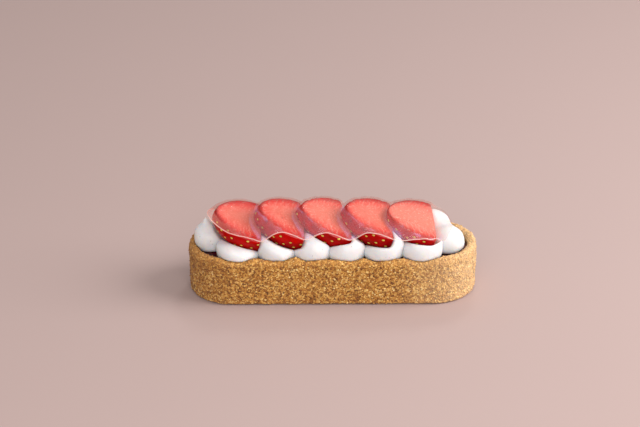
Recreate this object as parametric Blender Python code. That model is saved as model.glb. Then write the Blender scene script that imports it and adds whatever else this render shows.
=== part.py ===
"""Oblong strawberry tart: crumb shell, jam, piped cream, cut strawberries and a draped sheet of jelly.

The origin is the middle of the underside. X runs along the tart, -Y is the front and +Z is up.
"""

import math

import bmesh
import bpy
import numpy as np
from mathutils import Matrix, Vector
from mathutils.bvhtree import BVHTree

MM = 0.001
GAP = 0.3  # clearance between touching pieces, mm

# Shell
LENGTH = 130.0
WIDTH = 40.0
WALL = 4.0
FLOOR = 3.0
RIM_HEIGHT = 20.8
RIM_RISE = 1.9  # how far the rim stands up between the blobs of cream
SHELL_STATIONS = 70

# Jam
JAM_TOP = 18.8
JAM_STATIONS = 44

# Cream: middle x, middle y, radius and height of each piped blob, how far its tip leans along X,
# and how pointed it is, where 1 is round
CREAM_SIDES = 14
CREAM_FOOT = JAM_TOP + GAP
CREAM_FRONT = [
    (-41.8, -9.6, 10.0, 8.4, -3.0, 1.0),
    (-24.7, -10.0, 9.2, 11.8, -4.0, 1.2),
    (-9.1, -10.1, 9.2, 13.2, 1.0, 1.3),
    (5.9, -10.0, 9.1, 11.8, 3.0, 1.0),
    (21.5, -9.9, 9.5, 11.4, 5.0, 1.1),
    (39.1, -9.6, 9.9, 10.6, -3.0, 1.0),
]
CREAM_BACK = [
    (-43.0, 9.6, 9.5, 12.0, 2.0, 1.1),
    (-26.2, 10.0, 9.4, 12.6, -1.5, 1.2),
    (-9.2, 10.1, 9.4, 12.2, 2.0, 1.0),
    (8.6, 10.0, 9.5, 12.8, -1.0, 1.2),
    (26.6, 9.9, 9.8, 12.2, -2.0, 1.1),
    (46.6, 7.6, 9.8, 16.0, 1.4, 1.1),
]
CREAM_LEFT = (-55.2, 0.0, 7.6, 13.6, -1.8, 2.1)
CREAM_RIGHT = (52.4, -4.4, 8.0, 9.4, 0.0, 1.0)
CREAM_SQUEEZE = 10.0  # higher keeps the pressed sides flatter

# Turned outline of a blob, from its foot to its tip: share of the radius, share of the height
CREAM_OUTLINE = [
    (0.55, 0.00),
    (0.91, 0.02),
    (1.00, 0.14),
    (1.00, 0.30),
    (0.93, 0.54),
    (0.76, 0.74),
    (0.48, 0.89),
    (0.18, 0.965),
]
WIDEST_CREAM = 0.35  # share of the height below which every blob is round

# Strawberries
BERRY_TILT = 12.0  # the cut faces lean towards the front, degrees
BERRY_SHOULDER = 0.85  # share of the length where a berry is widest
BERRY_SIDES = 28
BERRY_RINGS = 9
# Tip, slope and turn in degrees, radius, bluntness, length, cut above the axis at tip and hull, hull slant
BERRIES = [
    ((-53.8, -1.4, 35.2), 7.2, -4.0, 13.2, 0.57, 21.2, 4.2, -0.6, 8.0),
    ((-35.0, -2.4, 36.4), 9.2, -1.0, 12.9, 0.56, 21.4, 5.2, 0.0, 8.0),
    ((-16.4, -2.3, 37.6), 9.8, -1.0, 13.4, 0.70, 23.0, 4.2, -1.2, 16.0),
    ((3.6, -2.6, 36.8), 9.0, 0.0, 13.0, 0.62, 23.0, 4.6, -0.6, 5.0),
    ((24.3, -1.2, 36.0), 8.0, -3.0, 13.2, 0.54, 21.0, 2.2, -1.5, 8.0),
]

# How steeply the cream stands up in front of each berry where the berry has pressed it down, degrees
CREAM_LIP_RISE = [50.0, 34.0, 50.0, 32.0, 42.0]
CREAM_LIP_REACH = 11.0

# Jelly
JELLY_THICKNESS = 0.8
JELLY_CLEARANCE = 0.5  # below the sheet, above what holds it up, mm
JELLY_LEFT = -56.0
JELLY_RIGHT = 54.0
JELLY_FRONT = -15.6
JELLY_BACK = 14.8
JELLY_STIFFNESS = 4.8  # length over which the sheet bends under its own weight, mm
JELLY_CLING = 14.0  # pull of the wet fruit below the sheet, times the sheet's weight
JELLY_CLING_REACH = 6.5  # how near the fruit has to be, mm
JELLY_DRY_END = 6.0  # length past the first tip that does not cling, mm
JELLY_CELL = 1.8  # grid of the draping, mm
JELLY_COLUMNS = 44
JELLY_ROWS = 11
DRAPE_ROUNDS = 40
JELLY_RUFFLE = 0.7  # waves along the free back edge, mm


def clear_scene():
    for old in list(bpy.data.objects):
        bpy.data.objects.remove(old)


def material(name, colour, roughness, transmission=0.0):
    made = bpy.data.materials.new(name)
    made.use_nodes = True
    shader = made.node_tree.nodes["Principled BSDF"]
    shader.inputs["Base Color"].default_value = (*colour, 1.0)
    shader.inputs["Roughness"].default_value = roughness
    shader.inputs["Metallic"].default_value = 0.0
    shader.inputs["Transmission Weight"].default_value = transmission
    return made


def finish(name, mesh_in_mm, finish_material, smooth_angle=40.0):
    """Scales a bmesh from millimetres, closes it and links it as one named object."""
    bmesh.ops.scale(mesh_in_mm, vec=(MM, MM, MM), verts=mesh_in_mm.verts)
    bmesh.ops.recalc_face_normals(mesh_in_mm, faces=mesh_in_mm.faces)
    data = bpy.data.meshes.new(name)
    mesh_in_mm.to_mesh(data)
    mesh_in_mm.free()
    data.materials.append(finish_material)
    data.shade_smooth()
    data.set_sharp_from_angle(angle=math.radians(smooth_angle))
    made = bpy.data.objects.new(name, data)
    bpy.context.collection.objects.link(made)
    return made


def smooth_share(far, near, distances):
    """1 where a distance is under near, 0 over far and smooth between, for an array."""
    share = np.clip((far - distances) / (far - near), 0.0, 1.0)
    return share * share * (3.0 - 2.0 * share)


def smoothstep(low, high, value):
    share = min(max((value - low) / (high - low), 0.0), 1.0)
    return share * share * (3.0 - 2.0 * share)


# Oblong outline with round ends ---------------------------------------------------------------


def oblong_stations(count, radius, half_straight):
    """Evenly spaced (centre x, direction) pairs round an oblong: a point is centre + distance * direction."""
    straight = 2.0 * half_straight
    arc = math.pi * radius
    stations = []
    for number in range(count):
        along = (number + 0.5) / count * 2.0 * (straight + arc)
        side = 1.0 if along < straight + arc else -1.0
        along %= straight + arc
        if along < straight:
            stations.append((side * (along - half_straight), (0.0, -side)))
        else:
            turn = (along - straight) / radius - math.pi / 2.0
            stations.append((side * half_straight, (side * math.cos(turn), side * math.sin(turn))))
    return stations


def loft(rings):
    """Skins closed rings of points, given from the first cap to the last, and fills both caps."""
    made = bmesh.new()
    loops = [[made.verts.new(point) for point in ring] for ring in rings]
    for lower, upper in zip(loops, loops[1:]):
        for here in range(len(lower)):
            after = (here + 1) % len(lower)
            made.faces.new((lower[here], lower[after], upper[after], upper[here]))
    made.faces.new(loops[0])
    made.faces.new(loops[-1])
    return made


# Shell and jam --------------------------------------------------------------------------------

RADIUS = WIDTH / 2.0
HALF_STRAIGHT = LENGTH / 2.0 - RADIUS
ALL_CREAM = CREAM_FRONT + CREAM_BACK + [CREAM_LEFT, CREAM_RIGHT]
# Rim across the wall: distance inwards from the outer face, drop below the crest
CREST_RADIUS = RADIUS - 2.0
RIM_SECTION = [(0.0, 1.4), (0.5, 0.35), (1.7, 0.0), (3.2, 0.55), (WALL, 1.5)]


def rim_crest(x, y):
    """Height of the pressed rim: it dips under each blob of cream and stands up between them."""
    to_cream = min(math.hypot(x - cx, y - cy) - radius for cx, cy, radius in (blob[:3] for blob in ALL_CREAM))
    pressed = 0.22 * math.sin(0.61 * x + 0.4 * y) + 0.16 * math.sin(1.37 * x - 1.0)
    return RIM_HEIGHT + RIM_RISE * smoothstep(-0.6, 1.6, to_cream) + pressed


def shell_mesh(swell=0.0):
    """The shell in millimetres; swell thickens its wall and rim, for pressing the cream that lies on it."""
    stations = oblong_stations(SHELL_STATIONS, RADIUS, HALF_STRAIGHT)

    def ring(inwards, height=None, drop=0.0):
        distance = RADIUS - inwards + swell * (1.0 - 2.0 * inwards / WALL)
        points = []
        for centre, (dx, dy) in stations:
            top = rim_crest(centre + CREST_RADIUS * dx, CREST_RADIUS * dy) - drop + swell
            points.append((centre + distance * dx, distance * dy, top if height is None else height))
        return points

    rings = [ring(0.7, 0.0), ring(0.0, 0.7)]
    rings += [ring(inwards, drop=drop) for inwards, drop in RIM_SECTION]
    rings.append(ring(WALL, FLOOR))
    return loft(rings)


def shell():
    return finish("crust", shell_mesh(), material("baked_crumb", (0.50, 0.26, 0.09), 0.9))


def jam():
    distance = RADIUS - WALL - GAP
    stations = oblong_stations(JAM_STATIONS, distance, HALF_STRAIGHT)
    rings = []
    for inset, height in ((0.0, FLOOR + GAP), (0.0, JAM_TOP - 0.6), (0.8, JAM_TOP)):
        rings.append([(c + (distance - inset) * dx, (distance - inset) * dy, height)
                      for c, (dx, dy) in stations])
    return finish("jam", loft(rings), material("berry_jam", (0.09, 0.008, 0.02), 0.15))


# Strawberries ---------------------------------------------------------------------------------


def berry_outline(radius, bluntness, length):
    """Turned outline from the tip to past the hull, as (distance along the axis, radius)."""
    points = []
    for number in range(1, BERRY_RINGS + 1):
        share = 1.3 * (number / BERRY_RINGS) ** 1.6
        angle = min(math.pi / 2.0 * share / BERRY_SHOULDER, math.pi * 0.9)
        points.append((share * length, radius * math.sin(angle) ** bluntness))
    return points


def turned(outline, sides, tip=(0.0, 0.0)):
    """Spins an outline of (along, radius) pairs round the local X axis, closed at both ends."""
    made = bmesh.new()
    chain = [made.verts.new((tip[0], 0.0, 0.0))]
    chain += [made.verts.new((along, radius, 0.0)) for along, radius in outline]
    chain.append(made.verts.new((outline[-1][0], 0.0, 0.0)))
    edges = [made.edges.new(pair) for pair in zip(chain, chain[1:])]
    bmesh.ops.spin(made, geom=chain + edges, cent=(0, 0, 0), axis=(1, 0, 0),
                   angle=2.0 * math.pi, steps=sides, use_merge=True)
    bmesh.ops.remove_doubles(made, verts=made.verts, dist=1e-4)
    bmesh.ops.recalc_face_normals(made, faces=made.faces)
    return made


def slice_off(made, point, normal):
    """Cuts away what lies past a plane and fills the cut with one face."""
    geometry = made.verts[:] + made.edges[:] + made.faces[:]
    cut = bmesh.ops.bisect_plane(made, geom=geometry, dist=1e-5, plane_co=point, plane_no=normal,
                                 clear_outer=True)
    rim = [item for item in cut["geom_cut"] if isinstance(item, bmesh.types.BMEdge)]
    bmesh.ops.edgeloop_fill(made, edges=rim)


def berry_mesh(berry, swell=0.0):
    """One cut strawberry in millimetres, in place; swell grows it all round, for pressing its neighbour."""
    tip, slope, turn, radius, bluntness, length, tip_cut, hull_cut, slant = berry
    outline = [(along, wide + swell) for along, wide in berry_outline(radius, bluntness, length)]
    made = turned(outline, BERRY_SIDES, tip=(-swell, 0.0))
    fall = math.atan2(tip_cut - hull_cut, length)
    slice_off(made, (0.0, 0.0, tip_cut + swell), (math.sin(fall), 0.0, math.cos(fall)))
    lean = math.radians(slant)
    slice_off(made, (length + swell, 0.0, 0.0), (math.cos(lean), math.sin(lean), 0.0))
    turn_matrix = (Matrix.Rotation(math.radians(turn), 4, "Z")
                   @ Matrix.Rotation(math.radians(slope), 4, "Y")
                   @ Matrix.Rotation(math.radians(BERRY_TILT), 4, "X"))
    bmesh.ops.transform(made, matrix=Matrix.Translation(tip) @ turn_matrix, verts=made.verts)
    return made


def pressing_mesh(berry, rise):
    """The space that a berry keeps clear of cream: the berry itself, swept forwards and up."""
    made = berry_mesh(berry, swell=GAP)
    points = [vertex.co.copy() for vertex in made.verts]
    lift = Vector((0.0, -CREAM_LIP_REACH, CREAM_LIP_REACH * math.tan(math.radians(rise))))
    made.free()
    made = bmesh.new()
    for point in points:
        made.verts.new(point)
        made.verts.new(point + lift)
    hull = bmesh.ops.convex_hull(made, input=made.verts)
    spare = {item for item in hull["geom_interior"] + hull["geom_unused"]
             if isinstance(item, bmesh.types.BMVert)}
    bmesh.ops.delete(made, geom=list(spare), context="VERTS")
    return made


def cut_with(target, cutter_mesh):
    """Boolean-cuts a mesh (mm) out of an object (m) and applies the result."""
    cutter = finish("cutter", cutter_mesh, target.data.materials[0])
    modifier = target.modifiers.new("press", "BOOLEAN")
    modifier.operation = "DIFFERENCE"
    modifier.solver = "EXACT"
    modifier.object = cutter
    evaluated = target.evaluated_get(bpy.context.evaluated_depsgraph_get())
    pressed = bpy.data.meshes.new_from_object(evaluated)
    target.modifiers.clear()
    target.data = pressed
    bpy.data.objects.remove(cutter)


def keep_largest_body(piece):
    """Drops the crumbs that a cut leaves cut off from the main body."""
    made = bmesh.new()
    made.from_mesh(piece.data)
    left = set(made.verts)
    bodies = []
    while left:
        body, edge = set(), [left.pop()]
        while edge:
            vertex = edge.pop()
            body.add(vertex)
            near = {link.other_vert(vertex) for link in vertex.link_edges} & left
            left -= near
            edge += near
        bodies.append(body)
    largest = max(bodies, key=len)
    spare = [vertex for body in bodies if body is not largest for vertex in body]
    bmesh.ops.delete(made, geom=spare, context="VERTS")
    made.to_mesh(piece.data)
    made.free()


def strawberries():
    """The berries lie like shingles: each tip rests in a dent in the hull end before it."""
    skin = material("strawberry", (0.62, 0.05, 0.03), 0.3)
    made = []
    for number, berry in enumerate(BERRIES, start=1):
        piece = finish(f"strawberry_{number}", berry_mesh(berry), skin, smooth_angle=50.0)
        if number < len(BERRIES):
            cut_with(piece, berry_mesh(BERRIES[number], swell=GAP + 0.05))
        made.append(piece)
    return made


# Cream ----------------------------------------------------------------------------------------


def probe_tree(objects):
    """Ray-casting tree, in millimetres, over several objects in world space."""
    points, faces = [], []
    for item in objects:
        first = len(points)
        points += [vertex.co / MM for vertex in item.data.vertices]
        faces += [[first + index for index in face.vertices] for face in item.data.polygons]
    return BVHTree.FromPolygons(points, faces)


def height_above(tree, x, y):
    """Highest surface of the tree at (x, y), or None."""
    hit = tree.ray_cast(Vector((x, y, 90.0)), Vector((0, 0, -1)))[0]
    return hit.z if hit else None


def neighbour_limit(blob, angle):
    """How far a blob reaches in a direction before it meets the blobs beside it."""
    cx, cy, radius = blob[:3]
    limit = 1e3
    for other in ALL_CREAM:
        apart = math.hypot(other[0] - cx, other[1] - cy)
        if other is blob or apart > radius + other[2] + 2.0:
            continue
        facing = math.cos(angle - math.atan2(other[1] - cy, other[0] - cx))
        if facing > 0.05:
            limit = min(limit, (apart * radius / (radius + other[2]) - GAP / 2.0 - 0.03) / facing)
    return limit


def pressed_radius(free, limit):
    """Soft minimum of the free radius and the limit, so pressed sides stay rounded."""
    return (free ** -CREAM_SQUEEZE + limit ** -CREAM_SQUEEZE) ** (-1.0 / CREAM_SQUEEZE)


def cream_blob(name, blob, finish_material):
    cx, cy, radius, height, lean, point = blob
    made = bmesh.new()
    foot = made.verts.new((cx, cy, CREAM_FOOT))
    tip = made.verts.new((cx + lean, cy, CREAM_FOOT + height))
    rings = []
    for wide, high in CREAM_OUTLINE:
        ring = []
        for side in range(CREAM_SIDES):
            angle = 2.0 * math.pi * (side + 0.5 * (len(rings) % 2)) / CREAM_SIDES
            free = radius * wide ** (point if high > WIDEST_CREAM else 1.0)
            dx = free * math.cos(angle) + lean * smoothstep(0.2, 1.0, high)
            dy = free * math.sin(angle)
            heading = math.atan2(dy, dx)
            reach = pressed_radius(math.hypot(dx, dy), min(neighbour_limit(blob, heading), 1.12 * radius))
            ring.append(made.verts.new((cx + reach * math.cos(heading), cy + reach * math.sin(heading),
                                        CREAM_FOOT + high * height)))
        rings.append(ring)
    for lower, upper in zip(rings, rings[1:]):
        bmesh.ops.bridge_loops(made, edges=ring_edges(made, lower) + ring_edges(made, upper))
    fan(made, rings[0], foot)
    fan(made, rings[-1], tip)
    piece = finish(name, made, finish_material, smooth_angle=75.0)
    cut_with(piece, shell_mesh(swell=GAP))
    for berry, rise in zip(BERRIES, CREAM_LIP_RISE):
        if berry[0][0] - radius - 3.0 < cx < berry[0][0] + berry[5] + radius + 3.0:
            cut_with(piece, pressing_mesh(berry, rise) if cy < 0.0 else berry_mesh(berry, swell=GAP))
    keep_largest_body(piece)
    return piece


def ring_edges(made, ring):
    pairs = zip(ring, ring[1:] + ring[:1])
    return [made.edges.get(pair) or made.edges.new(pair) for pair in pairs]


def fan(made, ring, centre):
    for here, after in zip(ring, ring[1:] + ring[:1]):
        made.faces.new((here, after, centre))


def cream():
    white = material("whipped_cream", (0.86, 0.83, 0.80), 0.45)
    named = [(f"cream_front_{n}", blob) for n, blob in enumerate(CREAM_FRONT, start=1)]
    named += [(f"cream_back_{n}", blob) for n, blob in enumerate(CREAM_BACK, start=1)]
    named += [("cream_left", CREAM_LEFT), ("cream_right", CREAM_RIGHT)]
    return [cream_blob(name, blob, white) for name, blob in named]


# Jelly ----------------------------------------------------------------------------------------

JELLY_MIDDLE = (JELLY_FRONT + JELLY_BACK) / 2.0
JELLY_RADIUS = (JELLY_BACK - JELLY_FRONT) / 2.0


def jelly_grid():
    """Even grid over the sheet, and a mask of the points that belong to it."""
    margin = JELLY_CELL
    xs = np.arange(JELLY_LEFT - margin, JELLY_RIGHT + 2.0 * margin, JELLY_CELL)
    ys = np.arange(JELLY_FRONT - margin, JELLY_BACK + 2.0 * margin, JELLY_CELL)
    x, y = np.meshgrid(xs, ys, indexing="ij")
    past_left = np.maximum(JELLY_LEFT + JELLY_RADIUS - x, 0.0)
    past_right = np.maximum(x - JELLY_RIGHT + JELLY_RADIUS, 0.0)
    inside = np.hypot(past_left + past_right, y - JELLY_MIDDLE) < JELLY_RADIUS + margin
    return xs, ys, inside


def support_heights(xs, ys, tree):
    """Top of what lies under each grid point, taken over the cell round it."""
    steps = np.linspace(-0.75, 0.75, 5) * JELLY_CELL
    tops = np.full((len(xs), len(ys)), JAM_TOP)
    for i, x in enumerate(xs):
        for j, y in enumerate(ys):
            for dx in steps:
                for dy in steps:
                    top = height_above(tree, x + dx, y + dy)
                    if top is not None:
                        tops[i, j] = max(tops[i, j], top)
    return tops


def drape(inside, tops, wet):
    """Rest shape of a thin elastic sheet under its weight on fixed supports, clinging where wet."""
    index = -np.ones(inside.shape, int)
    index[inside] = np.arange(inside.sum())
    count = int(inside.sum())
    bending = np.zeros((count, count))
    for cells, weights in (
        (((-1, 0), (0, 0), (1, 0)), (1.0, -2.0, 1.0)),
        (((0, -1), (0, 0), (0, 1)), (1.0, -2.0, 1.0)),
        (((0, 0), (1, 0), (0, 1), (1, 1)), (1.414, -1.414, -1.414, 1.414)),
    ):
        for i, j in zip(*np.nonzero(inside)):
            rows = []
            for di, dj in cells:
                a, b = i + di, j + dj
                if not (0 <= a < inside.shape[0] and 0 <= b < inside.shape[1]) or index[a, b] < 0:
                    break
                rows.append(index[a, b])
            else:
                bending[np.ix_(rows, rows)] += np.outer(weights, weights)
    bending *= JELLY_STIFFNESS ** 3 / JELLY_CELL ** 2
    weight = np.full(count, JELLY_CELL ** 2)
    floor = tops[inside]
    contact = 1e4
    height = floor
    for _ in range(DRAPE_ROUNDS):
        near = wet[inside] * smooth_share(JELLY_CLING_REACH, 0.5 * JELLY_CLING_REACH, height - floor)
        touching = height <= floor + 1e-6
        load = contact * touching * floor - weight * (1.0 + JELLY_CLING * near)
        height = np.linalg.solve(bending + np.diag(contact * touching + 1e-6), load)
    return np.maximum(height, floor)


def jelly(supports):
    xs, ys, inside = jelly_grid()
    tops = support_heights(xs, ys, probe_tree(supports)) + JELLY_CLEARANCE
    wet = np.outer(xs > BERRIES[0][0][0] + JELLY_DRY_END, np.ones(len(ys)))
    heights = np.zeros(inside.shape)
    heights[inside] = drape(inside, tops, wet)

    def height_at(x, y):
        u = (x - xs[0]) / JELLY_CELL
        v = (y - ys[0]) / JELLY_CELL
        i, j = int(u), int(v)
        s, t = u - i, v - j
        near = (1 - s) * heights[i, j] + s * heights[i + 1, j]
        far = (1 - s) * heights[i, j + 1] + s * heights[i + 1, j + 1]
        return (1 - t) * near + t * far

    def ruffle(x, y):
        free = smoothstep(JELLY_BACK - 4.0, JELLY_BACK, y)
        return JELLY_RUFFLE * free * (1.0 + 0.6 * math.sin(0.31 * x + 0.8) + 0.4 * math.sin(0.83 * x))

    made = bmesh.new()
    columns = []
    for column in range(JELLY_COLUMNS + 1):
        share = column / JELLY_COLUMNS
        x = end_spaced(share)
        half = half_width(x)
        columns.append([
            made.verts.new((x, y, height_at(x, y) + ruffle(x, y)))
            for y in (JELLY_MIDDLE + half * (2.0 * row / JELLY_ROWS - 1.0) for row in range(JELLY_ROWS + 1))
        ])
    for left, right in zip(columns, columns[1:]):
        for row in range(JELLY_ROWS):
            made.faces.new((left[row], right[row], right[row + 1], left[row + 1]))
    sheet = finish("jelly_veil", made, material("clear_jelly", (0.90, 0.55, 0.50), 0.08, 0.9), 60.0)
    solidify = sheet.modifiers.new("thickness", "SOLIDIFY")
    solidify.thickness = JELLY_THICKNESS * MM
    solidify.offset = 1.0
    return sheet


def end_spaced(share):
    """Even columns along the straight part, closing up towards the round ends."""
    length = JELLY_RIGHT - JELLY_LEFT
    bow = 0.028 * math.sin(4.0 * math.pi * share) / math.pi
    inset = 0.35
    return JELLY_LEFT + inset + (length - 2.0 * inset) * (share - bow)


def half_width(x):
    past = max(JELLY_LEFT + JELLY_RADIUS - x, x - JELLY_RIGHT + JELLY_RADIUS, 0.0)
    return math.sqrt(JELLY_RADIUS ** 2 - past ** 2)


def main():
    clear_scene()
    shell()
    jam()
    berries = strawberries()
    blobs = cream()
    jelly(berries + blobs)


main()
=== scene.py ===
import math
from collections import namedtuple
import bmesh
import bpy
import numpy as np
from mathutils import Matrix, Vector, kdtree, noise
from mathutils.bvhtree import BVHTree


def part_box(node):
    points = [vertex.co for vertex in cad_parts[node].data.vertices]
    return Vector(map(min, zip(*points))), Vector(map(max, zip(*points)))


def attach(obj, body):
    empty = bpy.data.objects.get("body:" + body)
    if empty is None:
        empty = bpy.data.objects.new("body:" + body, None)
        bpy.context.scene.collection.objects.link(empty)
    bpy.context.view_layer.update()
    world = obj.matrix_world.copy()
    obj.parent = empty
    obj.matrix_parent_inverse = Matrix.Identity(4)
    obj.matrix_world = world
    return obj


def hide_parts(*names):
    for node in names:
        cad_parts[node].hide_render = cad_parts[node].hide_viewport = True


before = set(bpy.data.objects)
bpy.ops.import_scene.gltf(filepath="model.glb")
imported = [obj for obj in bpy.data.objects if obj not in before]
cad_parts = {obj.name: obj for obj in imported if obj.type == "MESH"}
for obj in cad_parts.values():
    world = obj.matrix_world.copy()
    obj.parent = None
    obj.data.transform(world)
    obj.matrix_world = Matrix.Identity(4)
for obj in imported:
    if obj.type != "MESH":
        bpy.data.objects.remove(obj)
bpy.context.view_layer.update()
mm = 0.001


# nodes written as sums

class Wire:  # an output socket that can stand in a sum
    def __init__(self, web, socket):
        self.web = web
        self.socket = socket

    def __getitem__(self, name):  # another output of the same node
        return Wire(self.web, self.socket.node.outputs[name])

    def maths(self, operation, *values):
        return self.web.make("ShaderNodeMath", {"operation": operation}, dict(enumerate(values)))

    def __add__(self, other):
        return self.maths("ADD", self, other)

    def __radd__(self, other):
        return self.maths("ADD", other, self)

    def __sub__(self, other):
        return self.maths("SUBTRACT", self, other)

    def __rsub__(self, other):
        return self.maths("SUBTRACT", other, self)

    def __mul__(self, other):
        return self.maths("MULTIPLY", self, other)

    def __rmul__(self, other):
        return self.maths("MULTIPLY", other, self)

    def __truediv__(self, other):
        return self.maths("DIVIDE", self, other)

    def __pow__(self, other):
        return self.maths("POWER", self, other)

    def between(self, low, high, start=0.0, end=1.0):  # smooth share between two values
        return self.web.make("ShaderNodeMapRange", {"interpolation_type": "SMOOTHSTEP"},
                             {"Value": self, "From Min": low, "From Max": high,
                              "To Min": start, "To Max": end})


class Web:  # a node tree that is built with one call per node
    def __init__(self, tree):
        self.tree = tree

    def make(self, kind, settings=None, inputs=None, output=0):
        node = self.tree.nodes.new(kind)
        for name, value in (settings or {}).items():
            if name == "stops":
                ramp = node.color_ramp
                while len(ramp.elements) < len(value):
                    ramp.elements.new(1.0)
                for stop, (place, colour) in zip(ramp.elements, value):
                    stop.position = place
                    stop.color = (*colour, 1.0)
            else:
                setattr(node, name, value)
        for name, value in (inputs or {}).items():
            socket = node.inputs[name]
            if isinstance(value, Wire):
                self.tree.links.new(value.socket, socket)
            else:
                socket.default_value = value
        return Wire(self, node.outputs[output]) if len(node.outputs) else node

    def mix(self, share, one, other):
        return self.make("ShaderNodeMix", {"data_type": "RGBA"}, {0: share, 6: one, 7: other}, 2)

    def ramp(self, value, stops):
        return self.make("ShaderNodeValToRGB", {"stops": stops}, {"Fac": value})

    def noise(self, place, grain, detail=2.0, rough=0.5):  # grain is the size of a lump, mm
        return self.make("ShaderNodeTexNoise", {}, {"Vector": place, "Scale": 1.0 / (grain * mm),
                                                    "Detail": detail, "Roughness": rough})

    def cells(self, place, grain, output="Distance"):
        return self.make("ShaderNodeTexVoronoi", {}, {"Vector": place, "Scale": 1.0 / (grain * mm)}, output)

    def channel(self, colour, name):
        return self.make("ShaderNodeSeparateColor", {}, {"Color": colour}, name)

    def bump(self, height, depth, strength=1.0, below=None):  # depth in mm
        inputs = {"Height": height, "Distance": depth * mm, "Strength": strength}
        if below is not None:
            inputs["Normal"] = below
        return self.make("ShaderNodeBump", {}, inputs)

    def attribute(self, name, output="Fac"):
        return self.make("ShaderNodeAttribute", {"attribute_name": name}, {}, output)

    def random(self, low, high, seed):  # a number or a vector for each grain
        single = not isinstance(low, tuple)
        first = 2 if single else 0
        return self.make("FunctionNodeRandomValue", {"data_type": "FLOAT" if single else "FLOAT_VECTOR"},
                         {first: low, first + 1: high, 8: seed}, 1 if single else 0)


def rgb(red, green, blue):
    return (red, green, blue, 1.0)


class Finish(Web):  # a material and its node tree
    def __init__(self, name):
        self.material = bpy.data.materials.new(name)
        self.material.use_nodes = True
        self.material.node_tree.nodes.clear()
        super().__init__(self.material.node_tree)
        self.place = self.make("ShaderNodeTexCoord", output="Object")

    def principled(self, inputs):
        return self.make("ShaderNodeBsdfPrincipled", {}, inputs)

    def show(self, surface):
        self.make("ShaderNodeOutputMaterial", {}, {"Surface": surface})
        return self.material


# meshes

def newObject(name, data):
    made = bpy.data.objects.new(name, data)
    bpy.context.scene.collection.objects.link(made)
    return made


def newPiece(name, points, faces, *finishes):  # points in mm
    data = bpy.data.meshes.new(name)
    data.from_pydata([tuple(mm * float(c) for c in p) for p in points], [], [tuple(f) for f in faces])
    data.update()
    data.shade_smooth()
    for finish in finishes:
        data.materials.append(finish)
    return newObject(name, data)


def smoothMesh(made, name):  # mesh data from a bmesh, which it uses up
    data = bpy.data.meshes.new(name)
    made.to_mesh(data)
    made.free()
    data.shade_smooth()
    return data


def faceOutwards(piece):
    made = bmesh.new()
    made.from_mesh(piece.data)
    bmesh.ops.remove_doubles(made, verts=made.verts, dist=1e-7)
    bmesh.ops.recalc_face_normals(made, faces=made.faces)
    made.to_mesh(piece.data)
    made.free()


def gridFaces(rows, columns, closed, first=0):  # quads of a grid that is stored row by row
    faces = []
    for row in range(rows - 1):
        for column in range(columns if closed else columns - 1):
            after = (column + 1) % columns
            a, b = first + row * columns + column, first + row * columns + after
            faces.append((a, b, b + columns, a + columns))
    return faces


def storeNumbers(piece, name, values, kind="FLOAT"):
    layer = piece.data.attributes.new(name, kind, "POINT")
    layer.data.foreach_set("value" if kind == "FLOAT" else "vector", np.asarray(values, np.float32).ravel())


def treeOf(*pieces):  # for rays, in mm
    points, faces = [], []
    for piece in pieces:
        first = len(points)
        points += [v.co / mm for v in piece.data.vertices]
        faces += [[first + i for i in f.vertices] for f in piece.data.polygons]
    return BVHTree.FromPolygons(points, faces)


def smoothShare(low, high, value):
    share = np.clip((value - low) / (high - low), 0.0, 1.0)
    return share * share * (3.0 - 2.0 * share)


def curveThrough(knots, count):  # an even smooth curve through points
    knots = np.array(knots, float)
    padded = np.vstack([2 * knots[0] - knots[1], knots, 2 * knots[-1] - knots[-2]])
    out = []
    for share in np.linspace(0.0, len(knots) - 1.000001, count):
        i, t = int(share), share % 1.0
        a, b, c, d = padded[i:i + 4]
        out.append(0.5 * (2 * b + (c - a) * t + (2 * a - 5 * b + 4 * c - d) * t ** 2
                          + (3 * b - a - 3 * c + d) * t ** 3))
    return np.array(out)


# scattering with geometry nodes

def newTree(name, source, sockets, result):  # named inputs, the finish last
    tree = bpy.data.node_groups.new(name, "GeometryNodeTree")
    for label, kind in ((source, "Geometry"), *sockets, ("Finish", "Material")):
        tree.interface.new_socket(label, in_out="INPUT", socket_type="NodeSocket" + kind)
    tree.interface.new_socket(result, in_out="OUTPUT", socket_type="NodeSocketGeometry")
    web = Web(tree)
    return tree, web, web.make("NodeGroupInput")


def closeTree(web, placed, seed, finish, result):  # a tone for each grain, then real mesh
    kept = web.make("GeometryNodeStoreNamedAttribute", {"data_type": "FLOAT", "domain": "INSTANCE"},
                    {"Geometry": placed, "Name": "grainTone", "Value": web.random(0.0, 1.0, seed)})
    real = web.make("GeometryNodeRealizeInstances", {}, {"Geometry": kept})
    done = web.make("GeometryNodeSetMaterial", {}, {"Geometry": real, "Material": finish})
    web.make("NodeGroupOutput", {}, {result: done})


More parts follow.
